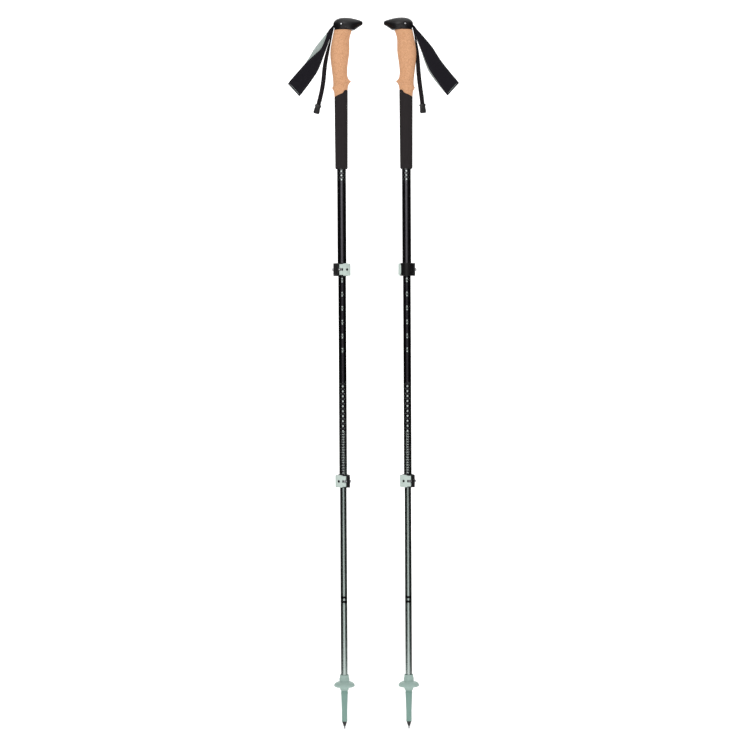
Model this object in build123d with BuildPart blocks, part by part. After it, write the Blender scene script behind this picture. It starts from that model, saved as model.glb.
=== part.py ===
"""A pair of three-section telescopic trekking poles with cork grips, wrist straps and lever locks.

Units are millimetres. Every piece is made in the pole's own frame: the shaft axis is Z, the tip
stands on z = 0 and the beak of the grip points along +X. Each pole is then placed beside the
pair's origin, which is on the ground midway between the two tips.
"""

import math
import os

from build123d import *

os.makedirs("parts", exist_ok=True)

# ---- Driving dimensions -------------------------------------------------------------------
POLE_SPACING = 116.0        # between the two shaft axes
POLE_TOP = 1276.0           # top of the grip's cap

UPPER_R, MIDDLE_R, LOWER_R = 8.0, 7.0, 6.0     # outside radii of the three shafts
WALL = 0.8                                     # shaft wall
GUIDE_CLEARANCE = 0.08                         # radial, guide bush in the shaft above it

UPPER_LOCK_Z, LOWER_LOCK_Z = 826.5, 447.5      # middle heights of the two lever locks
LOCK_HEIGHT = 23.0
LOCK_LIP = 3.0                                 # collar floor under the end of its shaft
UPPER_LOCK_TURN, LOWER_LOCK_TURN = -96.0, -80.0     # degrees about the shaft
UPPER_LUG_REACH, LOWER_LUG_REACH = 14.0, 10.0       # from the hinge pin to the screw's head

FOAM_BOTTOM, SEAM_BACK, SEAM_FRONT = 1006.0, 1134.7, 1146.0
CORK_TOP = 1253.7
CORE_BOTTOM, SHAFT_TOP, CORE_TOP = 1125.0, 1246.0, 1248.0
CORE_R = 9.0

MIDDLE_SHAFT_TOP, LOWER_SHAFT_TOP = 952.0, 575.0
GUIDE_FLANGE, GUIDE_SPIGOT = 6.0, 12.0

FERRULE_BOTTOM, FERRULE_SHOULDER, SOCKET_FLOOR, SOCKET_TOP = 13.5, 71.0, 76.0, 96.0
FERRULE_TIP_R, FERRULE_NECK_R, SOCKET_R = 4.9, 6.0, 7.22
TIP_SEAT_TOP = 31.5                            # end of the ferrule's straight lower stretch
BASKET_R, BASKET_BORE = 18.4, 7.3

PIN_X, PIN_Z, PIN_R = 1.1, 1263.3, 1.6         # strap pin through the cap
STRAP_EXIT = (-13.4, 1262.0)                   # (x, z) where the wrist strap leaves the cap
STRAP_FOLD = (-84.5, 1147.4)                   # (x, z) middle of the loop's far fold
WEBBING = 5.0                                  # half the width of the narrow webbing
TAIL_WIDTH, TAIL_THICK = 8.0, 1.2

# The tail's route in the XZ plane, from the cap's slot to its end stop.
LEFT_TAIL = [(-12.8, 1258.2), (-17.2, 1240.0), (-22.4, 1220.5), (-26.8, 1202.0), (-29.7, 1184.0),
             (-31.0, 1166.5), (-33.8, 1149.0), (-37.6, 1132.5), (-40.6, 1121.5)]
RIGHT_TAIL = [(-12.8, 1258.2), (-17.0, 1242.0), (-19.6, 1224.0), (-21.2, 1205.0), (-22.0, 1186.0),
              (-23.6, 1167.0), (-26.0, 1148.0), (-28.4, 1131.5), (-29.2, 1122.0)]


# ---- Shafts and their guide bushes ----------------------------------------------------------
def tube(outer, bottom, top, bore=None):
    """A plain round tube on the pole's axis."""
    with BuildPart() as made:
        with BuildSketch(Plane.XY.offset(bottom)):
            Circle(outer)
            Circle(outer - WALL if bore is None else bore, mode=Mode.SUBTRACT)
        extrude(amount=top - bottom)
    return made.part


def guide_bush(shaft_r, outer_shaft_r, shaft_top):
    """The bush in a shaft's upper end: a spigot in its bore and a flange that runs in the next shaft."""
    bore = shaft_r - WALL
    flange = outer_shaft_r - WALL - GUIDE_CLEARANCE
    with BuildPart() as made:
        with BuildSketch(Plane.XY.offset(shaft_top - GUIDE_SPIGOT)):
            Circle(bore - 0.02)
        extrude(amount=GUIDE_SPIGOT)
        with BuildSketch(Plane.XY.offset(shaft_top)):
            Circle(flange)
        extrude(amount=GUIDE_FLANGE)
        chamfer(made.edges().sort_by(Axis.Z)[-1], 0.8)
        with BuildSketch(Plane.XY.offset(shaft_top - GUIDE_SPIGOT)):
            Circle(bore - 1.6)
        extrude(amount=GUIDE_SPIGOT + GUIDE_FLANGE, mode=Mode.SUBTRACT)
    return made.part


# ---- The lever lock --------------------------------------------------------------------------
# In the lock's own frame the shaft axis is Z, the hinge pin stands on +X and the lever wraps
# round towards +Y. The screw runs along -Y through both lugs into the pin.
LUG_B = (-6.2, -4.0)        # y range of the lug that the cams press on
SLIT = 0.8                  # between that lug and the one under the screw's head
KNUCKLE_R, HINGE_PIN_R, SCREW_R = 3.6, 2.4, 1.6
HINGE_OFFSET = 5.4          # from the shaft's surface to the hinge pin's axis
FORK_GAP, HINGE_PIN_HALF = 2.2, 9.5
LEVER_START, LEVER_END = -6.0, 132.0           # degrees round the collar, on its inner face


def clamp_collar(shaft_r, inner_r, lug_reach):
    hinge_x = shaft_r + HINGE_OFFSET
    broad_lug = (-lug_reach, LUG_B[0] - SLIT)
    lug_end = hinge_x + 2.8
    half = LOCK_HEIGHT / 2
    with BuildPart() as made:
        with BuildSketch(Plane.XY.offset(-half)):
            Circle(shaft_r + 3.4)
        extrude(amount=LOCK_HEIGHT)
        chamfer(made.edges().filter_by(GeomType.CIRCLE), 0.6)
        for y_range in (broad_lug, LUG_B):
            with BuildSketch(Plane.XZ.offset(-y_range[1])):
                with Locations(((lug_end + 2) / 2, 0)):
                    RectangleRounded(lug_end - 2, LOCK_HEIGHT, 2.4)
            extrude(amount=y_range[1] - y_range[0])
        # the shaft's seat, the smaller hole of the lip, and the slit between the lugs
        with BuildSketch(Plane.XY.offset(-half + LOCK_LIP)):
            Circle(shaft_r)
        extrude(amount=LOCK_HEIGHT, mode=Mode.SUBTRACT)
        with BuildSketch(Plane.XY.offset(-half)):
            Circle(inner_r + 0.25)
        extrude(amount=LOCK_LIP, mode=Mode.SUBTRACT)
        with BuildSketch(Plane.XY.offset(-half)):
            with Locations((lug_end / 2 + 2, LUG_B[0] - SLIT / 2)):
                Rectangle(lug_end + 2, SLIT)
        extrude(amount=LOCK_HEIGHT, mode=Mode.SUBTRACT)
        # room for the lever's knuckles, and the screw's hole
        with BuildSketch(Plane.XY.offset(-half)):
            with Locations((hinge_x, 0)):
                Circle(KNUCKLE_R + 0.35)
        extrude(amount=LOCK_HEIGHT, mode=Mode.SUBTRACT)
        with BuildSketch(Plane.XZ.offset(-LUG_B[1] - 0.1)):
            with Locations((hinge_x, 0)):
                Circle(SCREW_R + 0.15)
        extrude(amount=lug_reach, mode=Mode.SUBTRACT)
        # a shallow panel on the broad lug's outer face
        with BuildSketch(Plane.YZ.offset(lug_end)):
            with Locations(((broad_lug[0] + broad_lug[1]) / 2, 0)):
                RectangleRounded((broad_lug[1] - broad_lug[0]) * 0.6, LOCK_HEIGHT - 7, 0.8)
        extrude(amount=-0.5, mode=Mode.SUBTRACT)
    return made.part


def clamp_lever(shaft_r):
    hinge_x = shaft_r + HINGE_OFFSET
    inner, outer = shaft_r + 4.4, shaft_r + 7.3
    half = LOCK_HEIGHT / 2 - 0.4
    middle = math.radians((LEVER_START + LEVER_END) / 2)
    chord = 2 * inner * math.sin(math.radians((LEVER_END - LEVER_START) / 2))
    facing = Plane(origin=(0, 0, 0), x_dir=(-math.sin(middle), math.cos(middle), 0),
                   z_dir=(math.cos(middle), math.sin(middle), 0))
    with BuildPart() as made:
        # the curved plate, rounded at its corners
        with BuildSketch(Plane.XY.offset(-half)):
            Circle(outer)
            Circle(inner, mode=Mode.SUBTRACT)
        extrude(amount=2 * half)
        with BuildSketch(facing):
            RectangleRounded(chord, 2 * half, 4.5)
        extrude(amount=outer + 2, mode=Mode.INTERSECT)
        # a hollow for the fingertip at the free end
        with BuildSketch(Plane.XY.offset(-half + 5.5)):
            with Locations((outer * math.cos(math.radians(LEVER_END)) * 1.12,
                            outer * math.sin(math.radians(LEVER_END)) * 1.12)):
                Circle(3.0)
        extrude(amount=2 * half - 11, mode=Mode.SUBTRACT)
        # the fork's two knuckles
        for low in (-HINGE_PIN_HALF, FORK_GAP):
            with BuildSketch(Plane.XY.offset(low)):
                with Locations((hinge_x, 0)):
                    Circle(KNUCKLE_R)
                with BuildLine():
                    Polyline((hinge_x - 0.9, 2.5), (hinge_x - 1.4, 5.2), (hinge_x + 0.3, 6.3),
                             (hinge_x + 3.2, 1.6), (hinge_x - 0.9, 2.5))
                make_face()
            extrude(amount=HINGE_PIN_HALF - FORK_GAP)
        with BuildSketch(Plane.XY.offset(-LOCK_HEIGHT / 2)):
            with Locations((hinge_x, 0)):
                Circle(HINGE_PIN_R + 0.06)
        extrude(amount=LOCK_HEIGHT, mode=Mode.SUBTRACT)
        # the middle is open where the screw crosses the pin
        with BuildSketch(Plane.XY.offset(-FORK_GAP)):
            with Locations((hinge_x, 0)):
                Circle(KNUCKLE_R + 0.2)
        extrude(amount=2 * FORK_GAP, mode=Mode.SUBTRACT)
    return made.part


def hinge_pin(shaft_r):
    hinge_x = shaft_r + HINGE_OFFSET
    with BuildPart() as made:
        with BuildSketch(Plane.XY.offset(-HINGE_PIN_HALF)):
            with Locations((hinge_x, 0)):
                Circle(HINGE_PIN_R)
        extrude(amount=2 * HINGE_PIN_HALF)
        chamfer(made.edges().filter_by(GeomType.CIRCLE), 0.3)
        with BuildSketch(Plane.XZ.offset(-HINGE_PIN_R - 1)):
            with Locations((hinge_x, 0)):
                Circle(SCREW_R + 0.02)
        extrude(amount=2 * HINGE_PIN_R + 2, mode=Mode.SUBTRACT)
    return made.part


def clamp_screw(shaft_r, lug_reach):
    """The screw that sets the clamp's grip: a domed head with a cross recess, and its shank."""
    hinge_x = shaft_r + HINGE_OFFSET
    head_r, head_height = 2.9, 2.3
    with BuildPart() as made:
        with BuildSketch(Plane.XZ.offset(lug_reach)):
            with Locations((hinge_x, 0)):
                Circle(head_r)
        extrude(amount=head_height)
        fillet(made.edges().group_by(Axis.Y)[0], 1.1)
        with BuildSketch(Plane.XZ.offset(lug_reach + head_height)):
            with Locations((hinge_x, 0)):
                Rectangle(3.2, 0.8)
                Rectangle(0.8, 3.2)
        extrude(amount=-1.2, mode=Mode.SUBTRACT)
        with BuildSketch(Plane.XZ.offset(lug_reach)):
            with Locations((hinge_x, 0)):
                Circle(SCREW_R)
        extrude(amount=-(lug_reach + HINGE_PIN_R - 0.5))
    return made.part


# ---- The grip ----------------------------------------------------------------------------------
# Each cork section is an ellipse between a point on the back and a point on the front, (x, z) of
# each, and a half width. The lower ones tilt, because the ridge slopes down towards the back.
CORK_SECTIONS = [
    ((-12.3, CORK_TOP), (19.6, CORK_TOP), 13.5),
    ((-13.9, 1245.0), (17.3, 1245.5), 13.7),
    ((-16.2, 1234.0), (15.4, 1235.5), 14.2),
    ((-18.7, 1217.0), (15.4, 1220.0), 14.7),
    ((-18.2, 1199.5), (13.8, 1204.0), 14.1),
    ((-16.0, 1181.0), (11.6, 1187.0), 12.9),
    ((-14.4, 1166.0), (11.4, 1174.0), 12.4),
    ((-14.2, 1155.8), (13.6, 1166.6), 13.2),
    ((-16.6, 1151.0), (18.6, 1162.8), 16.4),
]
SKIRT_SECTIONS = [
    ((-16.6, 1151.0), (18.6, 1162.8), 16.4),
    ((-13.2, 1145.0), (13.4, 1156.0), 13.2),
    ((-12.0, 1133.0), (12.0, 1141.0), 12.1),
    ((-11.9, 1122.0), (11.9, 1126.0), 12.0),
]


def section_plane(back, front):
    run, rise = front[0] - back[0], front[1] - back[1]
    return Plane(origin=((back[0] + front[0]) / 2, 0, (back[1] + front[1]) / 2),
                 x_dir=(run, 0, rise), z_dir=(-rise, 0, run))


def above_seam():
    """Everything above the wavy seam between the cork and the foam."""
    with BuildPart() as made:
        with BuildSketch(Plane.XZ):
            with BuildLine():
                Spline((-30, SEAM_BACK - 6.5), (-11.5, SEAM_BACK), (0, SEAM_BACK + 4.8),
                       (3.4, SEAM_BACK + 6.6), (6.6, SEAM_FRONT), (11.0, SEAM_FRONT + 1.0),
                       (30, SEAM_FRONT + 2.0))
                Polyline((30, SEAM_FRONT + 2.0), (30, POLE_TOP), (-30, POLE_TOP), (-30, SEAM_BACK - 6.5))
            make_face()
        extrude(amount=30, both=True)
    return made.part


def cork_grip(upper_side):
    with BuildPart() as made:
        for sections in (CORK_SECTIONS, SKIRT_SECTIONS):
            for back, front, half_width in sections:
                with BuildSketch(section_plane(back, front)):
                    Ellipse(math.dist(back, front) / 2, half_width)
            loft()
        add(upper_side, mode=Mode.INTERSECT)
        with BuildSketch(Plane.XY.offset(CORE_BOTTOM - 10)):
            Circle(CORE_R)
        extrude(amount=POLE_TOP - CORE_BOTTOM, mode=Mode.SUBTRACT)
    return made.part


def foam_sleeve(upper_side):
    with BuildPart() as made:
        with BuildSketch(Plane.XZ) as profile:
            with BuildLine():
                Polyline((UPPER_R, FOAM_BOTTOM), (11.1, FOAM_BOTTOM), (12.0, SEAM_FRONT + 6),
                         (CORE_R, SEAM_FRONT + 6), (CORE_R, CORE_BOTTOM), (UPPER_R, CORE_BOTTOM),
                         (UPPER_R, FOAM_BOTTOM))
            make_face()
            fillet(profile.vertices().group_by(Axis.Y)[0].sort_by(Axis.X)[-1], 2.6)
        revolve(axis=Axis.Z)
        add(upper_side, mode=Mode.SUBTRACT)
    return made.part


# The cap's sections across its length: x, lowest z, highest z, half width.
CAP_SECTIONS = [
    (-13.4, 1258.8, 1266.4, 6.0), (-10.4, 1255.2, 1270.8, 11.0), (-3.0, 1252.6, 1274.8, 14.8),
    (7.0, 1251.4, 1276.0, 16.2), (18.0, 1251.0, 1275.2, 15.2), (27.0, 1255.6, 1273.2, 12.0),
    (33.6, 1260.2, 1271.4, 8.6), (37.6, 1262.6, 1269.8, 5.6), (39.2, 1264.2, 1268.2, 3.0),
]


def grip_cap():
    """The moulded head: a beaked palm dome on a short neck, with the strap's slot in its back."""
    with BuildPart() as made:
        for x, low, high, half_width in CAP_SECTIONS:
            with BuildSketch(Plane.YZ.offset(x)):
                with Locations((0, (low + high) / 2)):
                    Ellipse(half_width, (high - low) / 2)
        loft()
        with BuildSketch(Plane.XY.offset(CORK_TOP)):
            with Locations((3.15, 0)):
                Ellipse(15.65, 13.5)
        with BuildSketch(Plane.XY.offset(1260)):
            with Locations((3.4, 0)):
                Ellipse(16.3, 14.6)
        with BuildSketch(Plane.XY.offset(1267)):
            with Locations((3.6, 0)):
                Ellipse(15.0, 13.0)
        loft()
        with BuildSketch(Plane.XY.offset(CORK_TOP)):
            Rectangle(120, 80)
        extrude(amount=-30, mode=Mode.SUBTRACT)
        with BuildSketch(Plane.XY.offset(CORE_TOP + 0.5)):
            Circle(CORE_R - 0.1)
        extrude(amount=CORK_TOP - CORE_TOP - 0.5)
        # the strap's cavity, open at the back, and the pin's cross hole
        with BuildSketch(Plane.XZ):
            with BuildLine():
                Polyline((-20, 1249.0), (-9, 1257.0), (5.6, 1257.0), (5.6, 1267.6), (-6, 1267.6),
                         (-20, 1265.6), (-20, 1249.0))
            make_face()
        extrude(amount=WEBBING + 0.7, both=True, mode=Mode.SUBTRACT)
        with BuildSketch(Plane.XZ):
            with Locations((PIN_X, PIN_Z)):
                Circle(PIN_R)
        extrude(amount=30, both=True, mode=Mode.SUBTRACT)
    return made.part


def strap_pin():
    with BuildPart() as made:
        with BuildSketch(Plane.XZ):
            with Locations((PIN_X, PIN_Z)):
                Circle(PIN_R - 0.01)
        extrude(amount=14.4, both=True)
        chamfer(made.edges().filter_by(GeomType.CIRCLE), 0.4)
    return made.part


def strap_anchor():
    """The strap's end inside the head: a webbing eye round the pin, reaching back to the slot."""
    eye_r = PIN_R + 1.5
    with BuildPart() as made:
        with BuildSketch(Plane.XZ):
            with Locations((PIN_X, PIN_Z)):
                Circle(eye_r)
            with Locations(((PIN_X + STRAP_EXIT[0] + 2.2) / 2, PIN_Z - 0.4)):
                Rectangle(PIN_X - STRAP_EXIT[0] - 2.2, 2.8)
            with Locations((PIN_X, PIN_Z)):
                Circle(PIN_R + 0.05, mode=Mode.SUBTRACT)
        extrude(amount=WEBBING, both=True)
    return made.part


def strap_wedge():
    """The block that jams the webbing against the slot's floor."""
    with BuildPart() as made:
        with BuildSketch(Plane.XZ):
            with BuildLine():
                Polyline((-8.5, 1257.1), (4.8, 1257.1), (4.8, 1259.6), (-2, 1260.0), (-8.5, 1258.6),
                         (-8.5, 1257.1))
            make_face()
        extrude(amount=WEBBING, both=True)
    return made.part


# ---- The wrist strap and its tail ----------------------------------------------------------
def wrist_strap():
    """A flattened loop: two bands that part in the middle and meet at the fold and at the slot."""
    run, drop = STRAP_FOLD[0] - STRAP_EXIT[0], STRAP_FOLD[1] - STRAP_EXIT[1]
    length = math.hypot(run, drop)
    along = (run / length, 0, drop / length)
    across = (-drop / length, 0, run / length)
    edge_on = Plane(origin=(STRAP_EXIT[0], 0, STRAP_EXIT[1]), x_dir=along, z_dir=across)
    with BuildPart() as made:
        with BuildSketch(edge_on):
            with BuildLine() as outer:
                Spline((3, 2.4), (24, 4.4), (74, 8.8), (120, 5.8), (length + 1.2, 0))
                Line((3, 2.4), (3, 0))
                mirror(about=Plane.XZ)
            make_face()
            with BuildLine() as inner:
                Spline((16, 0), (30, 3.0), (74, 6.6), (118, 3.6), (length - 1.2, 0))
                mirror(about=Plane.XZ)
            make_face(mode=Mode.SUBTRACT)
        extrude(amount=40, both=True)
        with BuildSketch(Plane.XZ):
            with BuildLine():
                Spline((-14.8, 1262.8), (-24.5, 1249.5), (-41, 1231), (-55, 1209), (-62, 1196.5))
                Polyline((-62, 1196.5), (-95, 1158.8), (-74, 1136))
                Spline((-74, 1136), (-54.7, 1160), (-40.9, 1180.6), (-29.3, 1208), (-21, 1236),
                       (-14.8, 1258.6))
                Line((-14.8, 1258.6), (-14.8, 1262.8))
            make_face()
        extrude(amount=30, both=True, mode=Mode.INTERSECT)
        with BuildSketch(Plane.XZ):
            with Locations(STRAP_EXIT):
                Circle(1.6)
            with BuildLine():
                Polyline((STRAP_EXIT[0] + across[0] * 1.6, STRAP_EXIT[1] + across[2] * 1.6),
                         (-17.9, 1252.2), (-20.6, 1254.0),
                         (STRAP_EXIT[0] - across[0] * 1.6, STRAP_EXIT[1] - across[2] * 1.6),
                         (STRAP_EXIT[0] + across[0] * 1.6, STRAP_EXIT[1] + across[2] * 1.6))
            make_face()
        extrude(amount=WEBBING, both=True)
    return made.part


def tail_radii(route):
    """Each corner's arc: 0.45 of its shorter run over the tangent of half the turn."""
    points = [Vector(x, 0, z) for x, z in route]
    radii = []
    for before, here, after in zip(points, points[1:], points[2:]):
        turn = math.radians((here - before).get_angle(after - here))
        radii.append(0.45 * min((here - before).length, (after - here).length) / math.tan(turn / 2))
    return radii


def strap_tail(route):
    radii = tail_radii(route)
    start, ahead = Vector(route[0][0], 0, route[0][1]), Vector(route[1][0], 0, route[1][1])
    with BuildPart() as made:
        with BuildLine() as path:
            FilletPolyline(*[(x, 0, z) for x, z in route], radius=radii)
        with BuildSketch(Plane(origin=start, x_dir=(0, 1, 0), z_dir=ahead - start)):
            Rectangle(TAIL_WIDTH, TAIL_THICK)
        sweep()
    length = path.wire().length
    print("tail: length %.1f, volume / (section x length) %.4f, radii %s" % (
        length, made.part.volume / (TAIL_WIDTH * TAIL_THICK * length), [round(r) for r in radii]))
    return made.part


def tail_stop(route):
    """The moulded T-shaped end of the tail, in line with the tail's last run."""
    end, before = Vector(route[-1][0], 0, route[-1][1]), Vector(route[-2][0], 0, route[-2][1])
    down = (end - before).normalized()
    with BuildPart() as made:
        with BuildSketch(Plane(origin=end, x_dir=down, z_dir=(0, -1, 0))):
            with BuildLine():
                Polyline((0, -4.6), (2.2, -6.6), (4.4, -5.2), (14.0, -6.0), (17.0, -5.2), (17.0, 5.2),
                         (14.0, 6.0), (4.4, 5.2), (2.2, 6.6), (0, 4.6), (0, -4.6))
            make_face()
        extrude(amount=2.2, both=True)
        fillet(made.edges().filter_by(Axis.Y), 0.9)
    return made.part


# ---- The tip and the basket -----------------------------------------------------------------
def revolved(points):
    with BuildPart() as made:
        with BuildSketch(Plane.XZ):
            with BuildLine():
                Polyline(*points, points[0])
            make_face()
        revolve(axis=Axis.Z)
    return made.part


def tip_ferrule():
    stem_r, stem_top = 2.5, 25.5
    return revolved([
        (stem_r, FERRULE_BOTTOM), (FERRULE_TIP_R, FERRULE_BOTTOM), (FERRULE_TIP_R, TIP_SEAT_TOP),
        (FERRULE_NECK_R, 62.0), (FERRULE_NECK_R, 63.0), (6.35, 63.4), (6.35, 65.4), (FERRULE_NECK_R, 65.8),
        (FERRULE_NECK_R, FERRULE_SHOULDER), (SOCKET_R, FERRULE_SHOULDER + 2), (SOCKET_R, SOCKET_TOP),
        (LOWER_R, SOCKET_TOP), (LOWER_R, SOCKET_FLOOR), (0, SOCKET_FLOOR), (0, stem_top), (stem_r, stem_top),
    ])


def tip_holder():
    return revolved([(1.3, 4.6), (1.9, 4.6), (2.6, 7.0), (4.8, FERRULE_BOTTOM),
                     (2.48, FERRULE_BOTTOM), (2.48, 25.0), (0, 25.0), (0, 12.0), (1.3, 12.0)])


def carbide_tip():
    return revolved([(0, 0.5), (0.8, 0), (1.1, 0.4), (1.28, 2.0), (1.28, 11.6), (0, 11.6)])


def basket():
    """A small dish on a stepped hub, with shallow scallops round its rim."""
    with BuildPart() as made:
        with BuildSketch(Plane.XZ):
            with BuildLine():
                Polyline((BASKET_BORE, 98.0), (7.9, 98.0), (8.2, 92.4), (8.9, 91.8), (9.1, 87.4),
                         (8.6, 86.8), (9.4, 85.2))
                Spline((9.4, 85.2), (13.5, 84.2), (17.2, 81.6), (BASKET_R, 77.0))
                Line((BASKET_R, 77.0), (17.0, 76.2))
                Spline((17.0, 76.2), (15.0, 79.4), (11.0, 80.6))
                Polyline((11.0, 80.6), (10.0, 77.0), (8.2, 73.2), (7.2, 69.6), (6.15, 69.6), (6.15, 71.0),
                         (BASKET_BORE, 72.9), (BASKET_BORE, 98.0))
            make_face()
        revolve(axis=Axis.Z)
        with BuildSketch(Plane.XY.offset(70)):
            with PolarLocations(BASKET_R + 5.2, 8, start_angle=22.5):
                Circle(6.2)
        extrude(amount=20, mode=Mode.SUBTRACT)
    return made.part


# ---- Assembly ----------------------------------------------------------------------------------
def lock_pieces(shaft_r, inner_r, lug_reach, height, mirrored, turn):
    """The lock's four pieces, turned about the shaft and set at its height.

    A mirrored lock wraps its lever round towards -Y and has its screw on +Y.
    """
    placed = {}
    made = {"clamp": clamp_collar(shaft_r, inner_r, lug_reach), "lever": clamp_lever(shaft_r),
            "hinge_pin": hinge_pin(shaft_r), "clamp_screw": clamp_screw(shaft_r, lug_reach)}
    for name, piece in made.items():
        handed = mirror(piece, about=Plane.XZ) if mirrored else piece
        placed[name] = Location((0, 0, height), (0, 0, turn)) * handed
    return placed


def pole(tail_route, lower_turn):
    """Every piece of one pole in the pole's own frame, by name."""
    upper_side = above_seam()
    pieces = {
        "upper_shaft": tube(UPPER_R, UPPER_LOCK_Z - LOCK_HEIGHT / 2 + LOCK_LIP, SHAFT_TOP),
        "grip_core": tube(CORE_R, CORE_BOTTOM, CORE_TOP, bore=UPPER_R),
        "cork_grip": cork_grip(upper_side),
        "foam_sleeve": foam_sleeve(upper_side),
        "grip_cap": grip_cap(),
        "strap_pin": strap_pin(),
        "strap_anchor": strap_anchor(),
        "strap_wedge": strap_wedge(),
        "wrist_strap": wrist_strap(),
        "strap_tail": strap_tail(tail_route),
        "strap_tail_stop": tail_stop(tail_route),
        "middle_shaft": tube(MIDDLE_R, LOWER_LOCK_Z - LOCK_HEIGHT / 2 + LOCK_LIP, MIDDLE_SHAFT_TOP),
        "middle_guide_bush": guide_bush(MIDDLE_R, UPPER_R, MIDDLE_SHAFT_TOP),
        "lower_shaft": tube(LOWER_R, SOCKET_FLOOR, LOWER_SHAFT_TOP),
        "lower_guide_bush": guide_bush(LOWER_R, MIDDLE_R, LOWER_SHAFT_TOP),
        "tip_ferrule": tip_ferrule(),
        "tip_holder": tip_holder(),
        "carbide_tip": carbide_tip(),
        "basket": basket(),
    }
    upper_lock = lock_pieces(UPPER_R, MIDDLE_R, UPPER_LUG_REACH, UPPER_LOCK_Z, False, UPPER_LOCK_TURN)
    lower_lock = lock_pieces(MIDDLE_R, LOWER_R, LOWER_LUG_REACH, LOWER_LOCK_Z, True,
                             LOWER_LOCK_TURN + lower_turn)
    pieces.update({"upper_" + name: piece for name, piece in upper_lock.items()})
    pieces.update({"lower_" + name: piece for name, piece in lower_lock.items()})
    return pieces


# The right pole is turned half round, so that the grips face each other; its lower sections are
# turned back, because a shaft can be set at any angle in the one above it.
for side, x, turn, route, lower_turn in (("left", -POLE_SPACING / 2, 0, LEFT_TAIL, 0),
                                         ("right", POLE_SPACING / 2, 180, RIGHT_TAIL, 180)):
    for name, piece in pole(route, lower_turn).items():
        placed = Location((x, 0, 0), (0, 0, turn)) * piece
        placed.label = f"{side}_{name}"
        export_step(placed, f"parts/{side}_{name}.step")
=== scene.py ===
# %% [markdown]
# # A pair of trekking poles
# Two telescopic poles stand side by side, their grips facing each other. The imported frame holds
# every hard piece where it belongs, so this lesson only gives the soft pieces their real shape and
# every piece its finish. All lengths are in metres, and `MM` turns millimetres into metres.

# %% The frame
import math

import bmesh
import bpy
import numpy as np
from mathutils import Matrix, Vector, noise


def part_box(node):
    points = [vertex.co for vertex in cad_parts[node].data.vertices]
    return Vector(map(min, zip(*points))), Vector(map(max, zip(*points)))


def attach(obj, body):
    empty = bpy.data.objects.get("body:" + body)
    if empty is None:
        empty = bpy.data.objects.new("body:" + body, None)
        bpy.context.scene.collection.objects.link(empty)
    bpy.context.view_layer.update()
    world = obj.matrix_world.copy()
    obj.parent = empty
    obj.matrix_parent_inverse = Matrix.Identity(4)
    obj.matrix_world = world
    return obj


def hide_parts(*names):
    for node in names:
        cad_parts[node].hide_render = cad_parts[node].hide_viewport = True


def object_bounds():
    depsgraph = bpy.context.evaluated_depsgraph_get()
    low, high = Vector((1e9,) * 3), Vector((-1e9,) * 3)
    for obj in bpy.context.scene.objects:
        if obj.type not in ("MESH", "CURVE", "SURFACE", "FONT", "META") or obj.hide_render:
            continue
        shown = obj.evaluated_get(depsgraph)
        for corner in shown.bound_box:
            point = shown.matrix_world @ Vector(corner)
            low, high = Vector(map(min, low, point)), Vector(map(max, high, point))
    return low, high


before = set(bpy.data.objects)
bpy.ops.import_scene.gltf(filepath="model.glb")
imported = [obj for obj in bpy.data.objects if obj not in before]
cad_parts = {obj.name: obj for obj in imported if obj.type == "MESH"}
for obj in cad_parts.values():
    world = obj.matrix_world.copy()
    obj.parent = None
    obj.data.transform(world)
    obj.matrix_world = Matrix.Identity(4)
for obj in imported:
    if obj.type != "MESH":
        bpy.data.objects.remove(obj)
cad_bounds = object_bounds()

MM = 0.001
SIDES = {"left": 1, "right": -1}     # +1 faces +X, -1 is turned half round

axis_x = {side: (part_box(f"{side}_lower_shaft")[0][0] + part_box(f"{side}_lower_shaft")[1][0]) / 2
          for side in SIDES}
print("the pair is", [round(b - a, 3) for a, b in zip(*cad_bounds)], "m; shaft axes at", axis_x)


def on_pole(side, x, y, z):
    """A point given in millimetres from the pole's axis, as it stands in the pair."""
    turn = SIDES[side]
    return Vector((axis_x[side] + turn * x * MM, turn * y * MM, z * MM))


# %% [markdown]
# ## The camera
# A product picture of something this long and thin is taken from far off with a long lens, so that
# both ends are the same size. The camera looks down by a degree and a half and is rolled a little.

# %% The camera
DISTANCE, LOOK_DOWN, ROLL = 3.4, math.radians(1.5), math.radians(0.3)
VIEW_HEIGHT = 1.346                  # what the picture covers at the poles

aim = Vector((0.0, 0.0, 0.6375))
camera = bpy.data.objects.new("camera", bpy.data.cameras.new("camera"))
bpy.context.collection.objects.link(camera)
camera.data.sensor_width = 36.0
camera.data.lens = 36.0 * DISTANCE / VIEW_HEIGHT
camera.location = aim + Vector((0, -math.cos(LOOK_DOWN), math.sin(LOOK_DOWN))) * DISTANCE
camera.rotation_euler = (math.radians(90) - LOOK_DOWN, 0, 0)
camera.rotation_euler.rotate_axis("Z", -ROLL)
bpy.context.scene.camera = camera
print("lens", round(camera.data.lens, 1), "mm")


# %% [markdown]
# ## Meshes from numbers
# Most soft pieces here are strips or rings of points. One helper turns rows of points into a closed
# skin, and another keeps a flat map on it in real millimetres, which a weave needs.

# %% Mesh helpers
def new_piece(name, points, faces, material):
    mesh = bpy.data.meshes.new(name)
    mesh.from_pydata([tuple(p) for p in points], [], faces)
    mesh.materials.append(material)
    mesh.shade_smooth()
    piece = bpy.data.objects.new(name, mesh)
    bpy.context.collection.objects.link(piece)
    return piece


def outward(piece):
    """Points every face of a closed mesh outwards."""
    work = bmesh.new()
    work.from_mesh(piece.data)
    bmesh.ops.recalc_face_normals(work, faces=work.faces)
    work.to_mesh(piece.data)
    work.free()


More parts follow.
